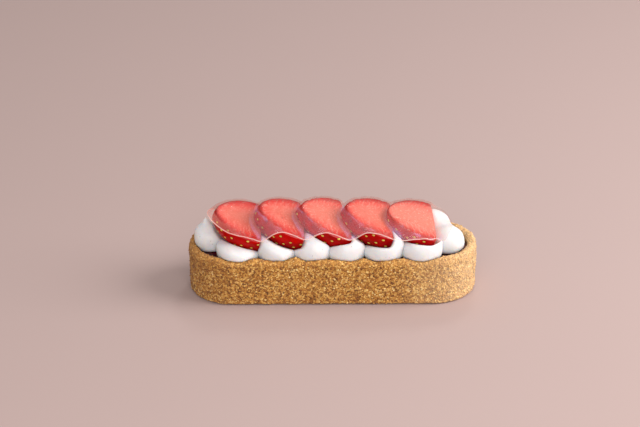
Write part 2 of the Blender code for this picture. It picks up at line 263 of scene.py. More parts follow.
def scatterTree(name):  # grains over a surface
    tree, web, given = newTree(name, "Surface", (
        ("Grain", "Object"), ("Per Area", "Float"), ("Spacing", "Float"), ("Smallest", "Float"),
        ("Largest", "Float"), ("Flatness", "Float"), ("Seed", "Int")), "Grains")
    share = web.make("GeometryNodeInputNamedAttribute", {"data_type": "FLOAT"}, {"Name": "grainShare"})
    spots = web.make("GeometryNodeDistributePointsOnFaces", {"distribute_method": "POISSON"}, {
        "Mesh": given["Surface"], "Distance Min": given["Spacing"], "Density Max": given["Per Area"],
        "Density Factor": share, "Seed": given["Seed"]})
    shape = web.make("GeometryNodeObjectInfo", {}, {"Object": given["Grain"]}, "Geometry")
    size = web.random(given["Smallest"], given["Largest"], 11)
    squash = web.random((0.75, 0.75, 0.75), (1.25, 1.1, 1.0), 12)
    flat = web.make("ShaderNodeCombineXYZ", {}, {0: 1.0, 1: 1.0, 2: given["Flatness"]})
    stretched = web.make("ShaderNodeVectorMath", {"operation": "MULTIPLY"}, {0: squash, 1: flat})
    scale = web.make("ShaderNodeVectorMath", {"operation": "SCALE"}, {0: stretched, "Scale": size})
    turn = web.random((-0.5, -0.5, -3.14), (0.5, 0.5, 3.14), 13)
    turned = web.make("FunctionNodeRotateRotation", {"rotation_space": "LOCAL"},
                      {0: spots["Rotation"], 1: turn})
    grains = web.make("GeometryNodeInstanceOnPoints", {},
                      {"Points": spots, "Instance": shape, "Rotation": turned, "Scale": scale})
    closeTree(web, grains, 14, given["Finish"], "Grains")
    return tree


def runTree(tree, host, name, values):  # the tree's result as a plain mesh piece
    modifier = host.modifiers.new(name, "NODES")
    modifier.node_group = tree
    for socket in tree.interface.items_tree:
        if socket.item_type == "SOCKET" and socket.in_out == "INPUT" and socket.name in values:
            modifier[socket.identifier] = values[socket.name]
    evaluated = host.evaluated_get(bpy.context.evaluated_depsgraph_get())
    data = bpy.data.meshes.new_from_object(evaluated)
    host.modifiers.remove(modifier)
    data.name = name
    return newObject(name, data)


def grainShape(name, squash, seed, rough):  # a small uneven lump, 1 m across before scaling
    made = bmesh.new()
    bmesh.ops.create_icosphere(made, subdivisions=1, radius=0.5)
    for vertex in made.verts:
        vertex.co *= 1.0 + rough * noise.noise(vertex.co * 2.3 + Vector((seed, 0.0, 0.0))) * 2.0
        vertex.co.z *= squash
    return bpy.data.objects.new(name, smoothMesh(made, name))


crumbTree = scatterTree("grain scatter")
print("tools ready")


# crumb shell
crustLook = {
    "columns": 560, "wallRows": 36, "lipRows": 16,
    "crestInset": 2.0, "wall": 4.0, "well": 15.5,   # across the rim, mm
    "footTop": 0.7, "lipDrop": 1.7,   # where the wall starts and ends, mm
    "lump": 0.36, "grain": 0.26, "sway": 0.22,   # heights of the relief, mm
    "lumpSize": 1.25, "grainSize": 0.62, "swaySize": 9.0,
    "grainFoot": 0.75, "seam": 0.30, "seamPlace": 0.7, "seamWidth": 0.45,
    "perArea": 2.2e6, "spacing": 0.765, "smallest": 0.50, "largest": 1.30,
    # axis, where it starts and is full (mm), share, colour; the top of the rim more orange, painted light on
    # the right end, painted shade on the left end
    "tints": [
        ("Z", 18.5, 21.0, 0.28, rgb(0.74, 0.36, 0.085)),
        ("X", 22.0, 70.0, 0.42, rgb(0.95, 0.71, 0.43)),
        ("X", -30.0, -64.0, 0.30, rgb(0.24, 0.10, 0.025)),
    ],
}
crustLow, crustHigh = (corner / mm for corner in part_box("crust"))
halfWidth = (crustHigh.y - crustLow.y) / 2
halfStraight = (crustHigh.x - crustLow.x) / 2 - halfWidth
crustTree = treeOf(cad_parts["crust"])


def oblongStations(count, radius):  # evenly spaced (centre x, direction) pairs round an oblong
    arc, straight = math.pi * radius, 2 * halfStraight
    stations = []
    for number in range(count):
        along = (number + 0.5) / count * 2 * (straight + arc)
        side = 1.0 if along < straight + arc else -1.0
        along %= straight + arc
        if along < straight:
            stations.append((side * (along - halfStraight), 0.0, -side))
        else:
            turn = (along - straight) / radius - math.pi / 2
            stations.append((side * halfStraight, side * math.cos(turn), side * math.sin(turn)))
    return np.array(stations)


def crestHeights(stations, look):  # height of the rim all round, from the solid
    heights = []
    for centre, dx, dy in stations:
        reach = halfWidth - look["crestInset"]
        hit = crustTree.ray_cast(Vector((centre + reach * dx, reach * dy, 90.0)), Vector((0, 0, -1)))[0]
        heights.append(hit.z)
    window = np.hanning(9) / np.hanning(9).sum()
    heights = np.array(heights)
    return np.convolve(np.concatenate([heights[-4:], heights, heights[:4]]), window, "valid")


def crumbRelief(points, normals, look):  # pushes points in and out like pressed crumb
    moved = points.copy()
    for i, (point, normal) in enumerate(zip(points, normals)):
        place = Vector(point)
        gaps = noise.voronoi(place / look["lumpSize"])[0]
        fine = noise.voronoi(place / look["grainSize"] + Vector((7.0, 3.0, 1.0)))[0]
        lump = min(gaps[1] - gaps[0], 0.7) / 0.7 - 0.5
        grain = min(fine[1] - fine[0], 0.6) / 0.6 - 0.5
        sway = noise.noise(place / look["swaySize"]) + 0.5 * noise.noise(place / 4.0)
        push = look["lump"] * lump + look["grain"] * grain + look["sway"] * sway
        if point[1] < 0.0:  # the join of the pressed strip
            push -= look["seam"] * math.exp(-((point[0] - look["seamPlace"]) / look["seamWidth"]) ** 2)
        moved[i] = point + normal * push
    return moved


def crumbFinish(name, fromTone):
    web = Finish(name)
    place = web.place
    tone = web.attribute("grainTone") if fromTone else web.channel(web.cells(place, 0.75, "Color"), "Red")
    baked = web.noise(place, 14.0, 3.0, 0.55)
    fine = web.noise(place, 1.1, 3.0, 0.65)
    mixed = tone * 0.66 + fine * 0.60 + baked * 0.30 - 0.30
    colour = web.ramp(mixed, [
        (0.08, (0.10, 0.032, 0.006)), (0.28, (0.27, 0.100, 0.014)), (0.48, (0.45, 0.196, 0.030)),
        (0.66, (0.60, 0.315, 0.068)), (0.82, (0.78, 0.50, 0.17)), (0.95, (0.93, 0.76, 0.44)),
    ])
    axes = web.make("ShaderNodeSeparateXYZ", {}, {"Vector": place})
    # painted light and shade: the right end lighter and the left end darker; the top of the rim more orange
    for axis, low, high, share, tint in crustLook["tints"]:
        colour = web.mix((axes[axis] / mm).between(low, high) * share, colour, tint)
    dark = web.noise(place, 0.9, 1.0, 0.5).between(0.70, 0.76)
    colour = web.mix(dark * 0.75, colour, rgb(0.10, 0.036, 0.012))
    rough = web.noise(place, 0.35, 2.0, 0.7)
    normal = web.bump(web.cells(place, 0.55), 0.18, 0.8, web.bump(rough, 0.10, 0.7))
    return web.show(web.principled({
        "Base Color": colour, "Roughness": rough * 0.35 + 0.50, "Normal": normal, "Specular IOR Level": 0.42,
        "Subsurface Weight": 0.12, "Subsurface Radius": (1.0, 0.5, 0.25), "Subsurface Scale": 0.9 * mm,
        "Sheen Weight": 0.06}))


def makeCrust(look):
    stations = oblongStations(look["columns"], halfWidth)
    crest = crestHeights(stations, look)
    lip = [(0.0, look["lipDrop"]), (0.35, 0.7), (1.0, 0.12), (1.9, 0.0), (2.8, 0.28), (3.6, 0.95), (4.0, 1.8)]
    low = look["footTop"]
    rows = [[station] * len(stations) for station in ((0.9, 0.0), (0.25, 0.18), (0.0, low))]   # inset, height
    for share in np.linspace(0.0, 1.0, look["wallRows"] + 1)[1:-1]:
        rows.append([(0.0, low + share * (top - look["lipDrop"] - low)) for top in crest])
    for inset, drop in curveThrough(lip, look["lipRows"]):
        rows.append([(inset, top - drop) for top in crest])
    for depth in (2.6, 3.6):
        rows.append([(look["wall"], top - depth) for top in crest])
    rows.append([(look["wall"], look["well"])] * len(stations))
    points = []
    for row in rows:
        for (centre, dx, dy), (inset, z) in zip(stations, row):
            points.append((centre + (halfWidth - inset) * dx, (halfWidth - inset) * dy, z))
    count = len(stations)
    faces = gridFaces(len(rows), count, True)
    faces.append(tuple(range(count))[::-1])
    faces.append(tuple(range((len(rows) - 1) * count, len(rows) * count)))
    piece = newPiece("crumb_crust", points, faces, crumbFinish("baked crumb", False))
    faceOutwards(piece)
    normals = np.array([v.normal for v in piece.data.vertices])
    points = np.array([v.co / mm for v in piece.data.vertices])
    foot = points[:, 2] < 0.05
    normals[foot, 2] = 0.0
    moved = crumbRelief(points, normals, look)
    moved[:, 2] = np.maximum(moved[:, 2], 0.0)
    moved[foot, 2] = 0.0
    piece.data.vertices.foreach_set("co", (moved * mm).ravel())
    piece.data.update()
    storeNumbers(piece, "grainShare", np.where(moved[:, 2] < look["grainFoot"], 0.0, 1.0))
    return piece


crust = makeCrust(crustLook)
crustGrain = grainShape("crumb grain", 0.8, 3.0, 0.18)
grains = runTree(crumbTree, crust, "crust_grains", {
    "Grain": crustGrain, "Per Area": crustLook["perArea"], "Spacing": crustLook["spacing"] * mm,
    "Smallest": crustLook["smallest"] * mm, "Largest": crustLook["largest"] * mm, "Flatness": 0.75, "Seed": 5,
    "Finish": crumbFinish("crumb grains", True)})
print("crust", len(crust.data.polygons), "grains", len(grains.data.polygons))


# jam
jamLook = {"columns": 260, "rings": 26, "top": 19.0, "under": 16.0, "lumps": 0.75, "beads": 0.35}


def jamFinish():
    web = Finish("glossy jam")
    colour = web.ramp(web.noise(web.place, 5.0, 3.0, 0.6), [
        (0.25, (0.030, 0.003, 0.008)), (0.50, (0.085, 0.006, 0.014)), (0.75, (0.20, 0.012, 0.020))])
    fine = web.noise(web.place, 1.6, 3.0, 0.5)
    return web.show(web.principled({
        "Base Color": colour, "Roughness": fine * 0.2 + 0.06, "Normal": web.bump(fine, 0.35, 0.6),
        "Subsurface Weight": 0.2, "Subsurface Radius": (1.0, 0.15, 0.1), "Subsurface Scale": 1.2 * mm,
        "Coat Weight": 0.6, "Coat Roughness": 0.05}))


def makeJam(look):
    reach = halfWidth - crustLook["wall"] + 0.15
    stations = oblongStations(look["columns"], halfWidth)
    points = [(c + reach * dx, reach * dy, look["under"]) for c, dx, dy in stations]
    for distance in np.linspace(reach, 0.6, look["rings"]):
        for centre, dx, dy in stations:
            place = Vector((centre + distance * dx, distance * dy, 0.0))
            lump = noise.noise(place / 3.4) + 0.4 * noise.noise(place / 1.5)
            bead = 1.0 - min(noise.voronoi(place / 2.2)[0][0], 1.0)
            points.append((place.x, place.y, look["top"] + look["lumps"] * lump + look["beads"] * bead))
    count, rows = len(stations), look["rings"] + 1
    faces = gridFaces(rows, count, True)
    faces += [tuple(range(count))[::-1], tuple(range((rows - 1) * count, rows * count))]
    piece = newPiece("jam_filling", points, faces, jamFinish())
    faceOutwards(piece)
    return piece


jam = makeJam(jamLook)
print("jam", len(jam.data.polygons))


# strawberries
Berry = namedtuple("Berry", "tip slope turn radius blunt length tipCut hullCut lean pale")
berryLook = {
    "tilt": 12.0, "shoulder": 0.85, "sides": 176, "rings": 60, "sway": 0.22, "swaySize": 5.0,
    "seedGap": 4.5, "dimple": 0.42, "dimpleWidth": 0.95, "puff": 0.10,
    "capRings": 30, "edgeRound": 0.34, "crown": 0.35,
    "fan": 0.5, "fanSize": 6.5, "streak": 0.85, "streakSway": 1.1,   # lines in the flesh
    # the cuts are heights above the axis, lean is the slant of the hull end, pale is how unripe it looks
    "berries": [
        Berry((-53.8, -1.4, 35.2), 7.2, -4.0, 13.2, 0.57, 21.2, 4.2, -0.6, 8.0, 0.05),
        Berry((-35.0, -2.4, 36.4), 9.2, -1.0, 12.9, 0.56, 21.4, 5.2, 0.0, 8.0, 0.10),
        Berry((-16.4, -2.3, 37.6), 9.8, -1.0, 13.4, 0.70, 23.0, 4.2, -1.2, 16.0, 0.45),
        Berry((3.6, -2.6, 36.8), 9.0, 0.0, 13.0, 0.62, 23.0, 4.6, -0.6, 5.0, 0.35),
        Berry((24.3, -1.2, 36.0), 8.0, -3.0, 13.2, 0.54, 21.0, 2.2, -1.5, 8.0, 0.75),
    ],
}


def berryPlace(berry):  # from the berry's own frame, X from the tip to the hull, to the tart's
    place = Matrix.Translation(berry.tip)
    for angle, axis in ((berry.turn, "Z"), (berry.slope, "Y"), (berryLook["tilt"], "X")):
        place = place @ Matrix.Rotation(math.radians(angle), 4, axis)
    return place


def cutAngles(berry):  # the fall of the cut face and the lean of the hull end
    return math.atan2(berry.tipCut - berry.hullCut, berry.length), math.radians(berry.lean)


def berryWave(point, number):  # slow unevenness of the skin
    return berryLook["sway"] * noise.noise(point / berryLook["swaySize"] + Vector((number * 9.0, 0.0, 0.0)))


def berryWidth(berry, share):
    angle = np.minimum(np.pi / 2 * share / berryLook["shoulder"], np.pi * 0.9)
    return berry.radius * np.maximum(np.sin(angle), 0.0) ** berry.blunt


def berrySeeds(berry, number):  # spots in a spiral over the whole fruit: point, outward, towards the tip
    shares = np.linspace(0.0, 1.15, 400)
    along, wide = shares * berry.length, berryWidth(berry, shares)
    step = np.hypot(np.diff(along), np.diff(wide))
    area = np.concatenate([[0.0], np.cumsum(step * np.pi * (wide[1:] + wide[:-1]))])
    count = int(area[-1] / berryLook["seedGap"] ** 2 / 0.9)
    spots = []
    for i in range(count):
        share = np.interp((i + 0.5) / count * area[-1], area, shares)
        jitter = noise.noise(Vector((i * 0.7, number * 5.0, 0.0)))
        angle = i * math.pi * (3 - math.sqrt(5)) + 0.18 * jitter + number
        a, r = share * berry.length, float(berryWidth(berry, share))
        b, q = (share + 0.01) * berry.length, float(berryWidth(berry, share + 0.01))
        tangent = Vector((b - a, q - r)).normalized()
        ring = Vector((0.0, math.cos(angle), math.sin(angle)))
        outward = Vector((-tangent.y, tangent.x * ring.y, tangent.x * ring.z))
        spots.append((Vector((a, r * ring.y, r * ring.z)), outward,
                      -Vector((tangent.x, tangent.y * ring.y, tangent.y * ring.z))))
    return spots


def cutAway(made, point, normal):  # removes what lies past a plane, gives the open loop
    geometry = made.verts[:] + made.edges[:] + made.faces[:]
    cut = bmesh.ops.bisect_plane(made, geom=geometry, dist=1e-4, plane_co=point, plane_no=normal,
                                 clear_outer=True)
    return [edge for edge in cut["geom_cut"] if isinstance(edge, bmesh.types.BMEdge)]


def loopOf(edges):  # vertices of one closed loop in order
    start = edges[0].verts[0]
    links = {}
    for edge in edges:
        one, other = edge.verts
        links.setdefault(one, []).append(other)
        links.setdefault(other, []).append(one)
    loop, before, here = [start], None, start
    while True:
        after = next(v for v in links[here] if v is not before)
        if after is start:
            return loop
        loop.append(after)
        before, here = here, after


def berrySkinFinish():
    web = Finish("strawberry skin")
    colour = web.ramp(web.noise(web.place, 6.0, 3.0, 0.55), [
        (0.30, (0.32, 0.001, 0.001)), (0.55, (0.46, 0.001, 0.001)), (0.78, (0.62, 0.003, 0.001))])
    # painted shade: the skin darker in the seed dimples
    colour = web.mix(web.attribute("dimple") * 0.60, colour, rgb(0.22, 0.003, 0.001))
    fine = web.noise(web.place, 0.5, 2.0, 0.5)
    return web.show(web.principled({
        "Base Color": colour, "Roughness": fine * 0.16 + 0.16, "Normal": web.bump(fine, 0.05, 0.5),
        "Specular IOR Level": 0.07}))


def berryFleshFinish():
    web = Finish("strawberry flesh")
    share = web.attribute("core")
    streak = web.noise(web.attribute("rays", "Vector"), 1000.0, 4.0, 0.62)   # rays counts lumps, not metres
    wide = web.noise(web.place, 3.2, 3.0, 0.6)
    fibre = web.noise(web.place, 0.8, 3.0, 0.7)
    depth = share + (streak - 0.5) * 0.70 + (wide - 0.5) * 0.24 + (fibre - 0.5) * 0.30
    colour = web.ramp(depth, [
        (0.24, (0.62, 0.130, 0.088)), (0.46, (0.62, 0.082, 0.054)), (0.62, (0.60, 0.038, 0.025)),
        (0.74, (0.54, 0.011, 0.009)), (0.84, (0.40, 0.003, 0.003)), (1.0, (0.30, 0.001, 0.001)),
    ])
    veins = streak.between(0.47, 0.62) * share.between(0.97, 0.68) * share.between(0.28, 0.50)
    unripe = web.attribute("pale") * share.between(1.0, 0.55)
    drops = fibre.between(0.53, 0.68) * share.between(1.05, 0.55)
    colour = web.mix(unripe * 0.32 + veins * 0.30 + drops * 0.50, colour, rgb(0.86, 0.40, 0.31))
    pits = web.noise(web.place, 0.6, 2.0, 0.6).between(0.66, 0.76)
    colour = web.mix(pits * 0.6, colour, rgb(0.40, 0.012, 0.010))
    return web.show(web.principled({
        "Base Color": colour, "Roughness": fibre * 0.20 + 0.10,
        "Normal": web.bump(streak * 0.8 + fibre * 0.7, 0.42, 0.8), "Subsurface Weight": 0.25,
        "Subsurface Radius": (1.0, 0.35, 0.25), "Subsurface Scale": 0.9 * mm}))


def makeBerry(number, berry, skin, flesh):
    look = berryLook
    seeds = berrySeeds(berry, number)
    tree = kdtree.KDTree(len(seeds))
    for i, (spot, _, _) in enumerate(seeds):
        tree.insert(spot, i)
    tree.balance()
    made = bmesh.new()
    dimple = made.verts.layers.float.new("dimple")
    core = made.verts.layers.float.new("core")
    rays = made.verts.layers.float_vector.new("rays")
    pale = made.verts.layers.float.new("pale")
    tip = made.verts.new((0.0, 0.0, 0.0))
    rings = []
    for ring in range(1, look["rings"] + 1):
        share = 1.28 * (ring / look["rings"]) ** 1.45
        wide = float(berryWidth(berry, share))
        after = float(berryWidth(berry, share + 0.01))
        slope = Vector((0.01 * berry.length, after - wide)).normalized()
        row = []
        for side in range(look["sides"]):
            angle = 2 * math.pi * side / look["sides"]
            outward = Vector((-slope.y, slope.x * math.cos(angle), slope.x * math.sin(angle)))
            point = Vector((share * berry.length, wide * math.cos(angle), wide * math.sin(angle)))
            distance = tree.find(point)[2]
            dip = math.exp(-(distance / look["dimpleWidth"]) ** 2)
            collar = math.exp(-((distance - 1.25 * look["dimpleWidth"]) / 0.5) ** 2)
            push = look["puff"] * collar - look["dimple"] * dip + berryWave(point, number)
            vertex = made.verts.new(point + outward * push)
            vertex[dimple] = dip
            row.append(vertex)
        rings.append(row)
    for side in range(look["sides"]):
        after = (side + 1) % look["sides"]
        made.faces.new((tip, rings[0][after], rings[0][side]))
        for lower, upper in zip(rings, rings[1:]):
            made.faces.new((lower[side], lower[after], upper[after], upper[side]))
    fall, lean = cutAngles(berry)
    back = Vector((math.cos(lean), math.sin(lean), 0.0))
    fillDisc(made, loopOf(cutAway(made, (berry.length, 0, 0), back)), back, 14, 0.5, 0.5, number, None)
    up = Vector((math.sin(fall), 0.0, math.cos(fall)))
    faceLoop = loopOf(cutAway(made, (0, 0, berry.tipCut), up))
    fillDisc(made, faceLoop, up, look["capRings"], look["edgeRound"], look["crown"], number + 20, core)
    for vertex in made.verts:
        vertex[pale] = berry.pale
        if vertex[core] > 0.0:  # layers that follow the skin, so the side towards the hull has no rim
            x, y, z = vertex.co
            layer = math.hypot(y, z) / float(berryWidth(berry, x / berry.length) + 1e-6)
            vertex[core] = min(1.0, max(0.02, layer))
            ahead = x - look["fan"] * berry.length   # streaks fan out round the tip, then leave the core line
            turn = math.atan2(abs(y), -ahead) if ahead < 0.0 else math.pi / 2
            line = turn * look["fanSize"] + max(ahead, 0.0) - 0.35 * abs(y)
            line += look["streakSway"] * noise.noise(vertex.co / 2.6)
            vertex[rays] = (math.copysign(line, y) / look["streak"], 1.6 * layer, 3.0 * number + (y > 0.0))
    bmesh.ops.transform(made, matrix=berryPlace(berry), verts=made.verts)
    bmesh.ops.triangulate(made, faces=[face for face in made.faces if len(face.verts) > 4])
    bmesh.ops.recalc_face_normals(made, faces=made.faces)
    bmesh.ops.scale(made, vec=(mm, mm, mm), verts=made.verts)
    data = smoothMesh(made, f"berry_{number}")
    for finish in (skin, flesh):
        data.materials.append(finish)
    return newObject(data.name, data), seeds


def fillDisc(made, loop, up, rings, edge, crown, seed, core):  # closes a cut with rings that round its edge
    middle = sum((vertex.co for vertex in loop), Vector()) / len(loop)
    outer = loop
    shares = [0.985, 0.965, 0.94] + list(np.linspace(0.91, 0.03, rings - 3))
    if core:
        for vertex in loop:
            vertex[core] = 1.0
    for share in shares:
        inner = []
        for vertex in loop:
            out = vertex.co - middle
            lift = edge * (1.0 - ((share - 0.9) / 0.1) ** 2) if share > 0.9 else edge
            point = middle + out * share
            lift += crown * (1.0 - share ** 2)
            lift += 0.10 * noise.noise(point / 2.2 + Vector((seed, 0, 0))) * min(1.0, (1.0 - share) * 8.0)
            fresh = made.verts.new(point + up * lift)
            if core:
                fresh[core] = 1.0
            inner.append(fresh)
        for i in range(len(loop)):
            after = (i + 1) % len(loop)
            face = made.faces.new((outer[i], outer[after], inner[after], inner[i]))
            face.material_index = 1
        outer = inner
    face = made.faces.new(outer)
    face.material_index = 1


skinFinish, fleshFinish = berrySkinFinish(), berryFleshFinish()
berries, seedSpots = [], []
for number, berry in enumerate(berryLook["berries"], start=1):
    piece, seeds = makeBerry(number, berry, skinFinish, fleshFinish)
    berries.append(piece)
    seedSpots.append(seeds)
    print("berry", number, len(piece.data.polygons))


# seeds
seedLook = {"length": 1.42, "width": 1.08, "height": 0.62, "sink": 0.18, "smallest": 0.85, "largest": 1.12,
            "fromCut": 0.45, "coverReach": 9.0, "coverShare": 0.22}


def seedShape(look):  # a pointed drop, 1 mm units, tip towards +X
    made = bmesh.new()
    bmesh.ops.create_uvsphere(made, u_segments=8, v_segments=5, radius=0.5)
    bmesh.ops.rotate(made, verts=made.verts, matrix=Matrix.Rotation(math.pi / 2, 3, "Y"))
    for vertex in made.verts:
        x, y, z = vertex.co
        narrow = 1.0 - 0.55 * max(x, 0.0) / 0.5
        vertex.co = Vector((x * look["length"], y * look["width"] * narrow, z * look["height"] * narrow))
    bmesh.ops.scale(made, vec=(mm, mm, mm), verts=made.verts)
    return bpy.data.objects.new("seed shape", smoothMesh(made, "seed shape"))


def seedTree():  # one seed at each point, flat on the skin, pointing along the fruit
    tree, web, given = newTree("seed rows", "Spots", (
        ("Seed Shape", "Object"), ("Smallest", "Float"), ("Largest", "Float"), ("Seed", "Int")), "Seeds")
    outward = web.make("GeometryNodeInputNamedAttribute", {"data_type": "FLOAT_VECTOR"}, {"Name": "outward"})
    along = web.make("GeometryNodeInputNamedAttribute", {"data_type": "FLOAT_VECTOR"}, {"Name": "along"})
    flat = web.make("FunctionNodeAlignRotationToVector", {"axis": "Z"}, {"Vector": outward})
    aimed = web.make("FunctionNodeAlignRotationToVector", {"axis": "X", "pivot_axis": "Z"},
                     {"Rotation": flat, "Vector": along})
    points = web.make("GeometryNodeMeshToPoints", {}, {"Mesh": given["Spots"]})
    shape = web.make("GeometryNodeObjectInfo", {}, {"Object": given["Seed Shape"]}, "Geometry")
    size = web.random(given["Smallest"], given["Largest"], given["Seed"])
    seeds = web.make("GeometryNodeInstanceOnPoints", {},
                     {"Points": points, "Instance": shape, "Rotation": aimed, "Scale": size})
    closeTree(web, seeds, 3, given["Finish"], "Seeds")
    return tree


def seedFinish():
    web = Finish("seed husk")
    mottle = web.noise(web.place, 0.5, 2.0, 0.6)
    colour = web.ramp(web.attribute("grainTone") * 0.75 + mottle * 0.4 - 0.1, [
        (0.05, (0.42, 0.36, 0.035)), (0.40, (0.62, 0.52, 0.055)),
        (0.70, (0.74, 0.58, 0.09)), (1.0, (0.62, 0.34, 0.06))])
    return web.show(web.principled({
        "Base Color": colour, "Roughness": mottle * 0.2 + 0.25, "Normal": web.bump(mottle, 0.08, 0.6),
        "Coat Weight": 0.2}))


def makeSeeds(look, cover):  # only the seeds that the cuts leave on the skin, few under the sheet
    points, outward, along = [], [], []
    for number, (berry, spots) in enumerate(zip(berryLook["berries"], seedSpots), start=1):
        place = berryPlace(berry)
        turn = place.to_3x3()
        fall, lean = cutAngles(berry)
        for spot, out, aim in spots:
            top = spot.z - berry.tipCut + spot.x * math.tan(fall)
            end = (spot.x - berry.length) * math.cos(lean) + spot.y * math.sin(lean)
            if max(top, end) > -look["fromCut"]:
                continue
            covered = cover.ray_cast(place @ spot, turn @ out, look["coverReach"])[0]
            if covered is not None and noise.noise(spot * 1.7) < look["coverShare"]:
                continue
            depth = berryLook["dimple"] - berryWave(spot, number) - look["sink"]
            points.append(place @ (spot - out * depth))
            outward.append(turn @ out)
            along.append(turn @ aim)
    host = newPiece("seed spots", points, [])
    storeNumbers(host, "outward", outward, "FLOAT_VECTOR")
    storeNumbers(host, "along", along, "FLOAT_VECTOR")
    seeds = runTree(seedTree(), host, "berry_seeds", {
        "Seed Shape": seedShape(look), "Smallest": look["smallest"], "Largest": look["largest"], "Seed": 4,
        "Finish": seedFinish()})
    bpy.data.objects.remove(host)
    return seeds


# cream
Blob = namedtuple("Blob", "x y radius height lean point")
creamLook = {
    "sides": 96, "rows": 58, "foot": 19.1,
    "squeeze": 7.0, "touch": 2.0, "plump": 1.09, "lift": 0.12, "soften": 7,   # how blobs press on each other
    "lipReach": 11.0, "lipRise": [50.0, 34.0, 50.0, 32.0, 42.0],   # cream pushed up in front of each berry
    "wave": 0.16, "waveSize": 4.5, "fold": 0.07, "foldCount": 6, "foldTurn": 1.6,
    "tail": 1.3, "tailWidth": 1.9,
    "bridge": (49.2, 1.8, 24.4), "bridgeSize": 6.5, "voxel": 0.42, "fuseRounds": 70,   # the double dollop
    "outline": [(0.0, 0.0), (0.50, 0.0), (0.80, 0.02), (0.95, 0.13), (1.0, 0.30), (0.95, 0.52), (0.80, 0.72),
                (0.52, 0.88), (0.22, 0.97), (0.0, 1.0)],
    "peaked": [(0.0, 0.0), (0.50, 0.0), (0.84, 0.03), (0.97, 0.12), (1.0, 0.27), (0.95, 0.46), (0.78, 0.64),
               (0.52, 0.77), (0.27, 0.86), (0.12, 0.93), (0.0, 1.0)],
    "blobs": {
        "cream_front_1": Blob(-41.8, -9.6, 10.0, 8.4, -3.0, 1.0),
        "cream_front_2": Blob(-24.7, -10.0, 9.2, 11.8, -4.0, 1.2),
        "cream_front_3": Blob(-9.1, -10.1, 9.2, 13.2, 1.0, 1.3),
        "cream_front_4": Blob(5.9, -10.0, 9.1, 11.8, 3.0, 1.0),
        "cream_front_5": Blob(22.6, -10.2, 9.4, 12.6, 4.4, 1.1),
        "cream_front_6": Blob(39.6, -9.8, 9.6, 11.6, 1.6, 1.0),
        "cream_back_1": Blob(-43.0, 9.6, 9.5, 12.0, 2.0, 1.1),
        "cream_back_2": Blob(-26.2, 10.0, 9.4, 12.6, -1.5, 1.2),
        "cream_back_3": Blob(-9.2, 10.1, 9.4, 12.2, 2.0, 1.0),
        "cream_back_4": Blob(8.6, 10.0, 9.5, 12.8, -1.0, 1.2),
        "cream_back_5": Blob(26.6, 9.9, 9.8, 12.2, -2.0, 1.1),
        "cream_back_6": Blob(44.8, 7.2, 9.5, 14.8, 0.0, 1.15),
        "cream_left": Blob(-55.2, 0.0, 7.6, 13.6, -1.8, 1.0),
        "cream_right": Blob(52.0, -3.2, 8.2, 11.6, -0.6, 1.0),
    },
}


def creamFinish():
    web = Finish("whipped cream")
    place = web.place
    colour = web.ramp(web.noise(place, 7.0, 2.0, 0.5), [
        (0.30, (0.675, 0.68, 0.69)), (0.70, (0.72, 0.722, 0.728))])
    picked = web.channel(web.cells(place, 1.7, "Color"), "Green").between(0.84, 0.85)
    fleck = web.cells(place, 1.7).between(0.120, 0.080) * picked
    colour = web.mix(fleck * 0.75, colour, rgb(0.16, 0.12, 0.10))
    froth = web.noise(place, 0.45, 3.0, 0.6)
    stria = web.noise(place, 1.8, 3.0, 0.55)
    normal = web.bump(stria, 0.20, 0.35, web.bump(froth, 0.06, 0.45))
    return web.show(web.principled({
        "Base Color": colour, "Roughness": froth * 0.2 + 0.32, "Normal": normal, "Specular IOR Level": 0.3,
        "Subsurface Weight": 0.8, "Subsurface Radius": (1.0, 0.72, 0.52), "Subsurface Scale": 3.2 * mm}))


def berryShell(berry, swell, rise=None):  # the room a berry keeps clear of cream, as a convex hull
    made = bmesh.new()
    place = berryPlace(berry)
    fall, lean = cutAngles(berry)
    sides = 64
    tip = made.verts.new((-swell, 0.0, 0.0))
    rows = []
    for share in np.linspace(0.02, 1.28, 40) ** 1.3:
        wide = float(berryWidth(berry, share)) + swell
        rows.append([made.verts.new((share * berry.length, wide * math.cos(a), wide * math.sin(a)))
                     for a in np.linspace(0.0, 2 * math.pi, sides, endpoint=False)])
    for side in range(sides):
        after = (side + 1) % sides
        made.faces.new((tip, rows[0][after], rows[0][side]))
        for lower, upper in zip(rows, rows[1:]):
            made.faces.new((lower[side], lower[after], upper[after], upper[side]))
    cutAway(made, (berry.length + swell, 0, 0), (math.cos(lean), math.sin(lean), 0.0))
    cutAway(made, (0, 0, berry.tipCut + swell), (math.sin(fall), 0.0, math.cos(fall)))
    points = [place @ vertex.co for vertex in made.verts]
    made.free()
    if rise is not None:
        reach = creamLook["lipReach"]
        up = Vector((0.0, -reach, reach * math.tan(math.radians(rise))))
        points += [point + up for point in points]
    made = bmesh.new()
    for point in points:
        made.verts.new(point)
    bmesh.ops.convex_hull(made, input=made.verts)
    bmesh.ops.delete(made, geom=[v for v in made.verts if not v.link_faces], context="VERTS")
    tree = BVHTree.FromBMesh(made)
    made.free()
    return tree


def softLeast(one, other):  # the smaller of two lengths, rounded where they meet
    power = creamLook["squeeze"]
    return (one ** -power + other ** -power) ** (-1.0 / power)


def roomBeside(blob, angles):  # how far a blob reaches before the blobs beside it
    limit = np.full(angles.shape, 1.12 * blob.radius)
    for other in creamLook["blobs"].values():
        dx, dy = other.x - blob.x, other.y - blob.y
        apart = math.hypot(dx, dy)
        if other is blob or apart > blob.radius + other.radius + 2.0:
            continue
        facing = np.cos(angles - math.atan2(dy, dx))
        share = apart * blob.radius / (blob.radius + other.radius) + creamLook["touch"]
        limit = np.where(facing > 0.05, np.minimum(limit, share / np.maximum(facing, 0.05)), limit)
    return limit


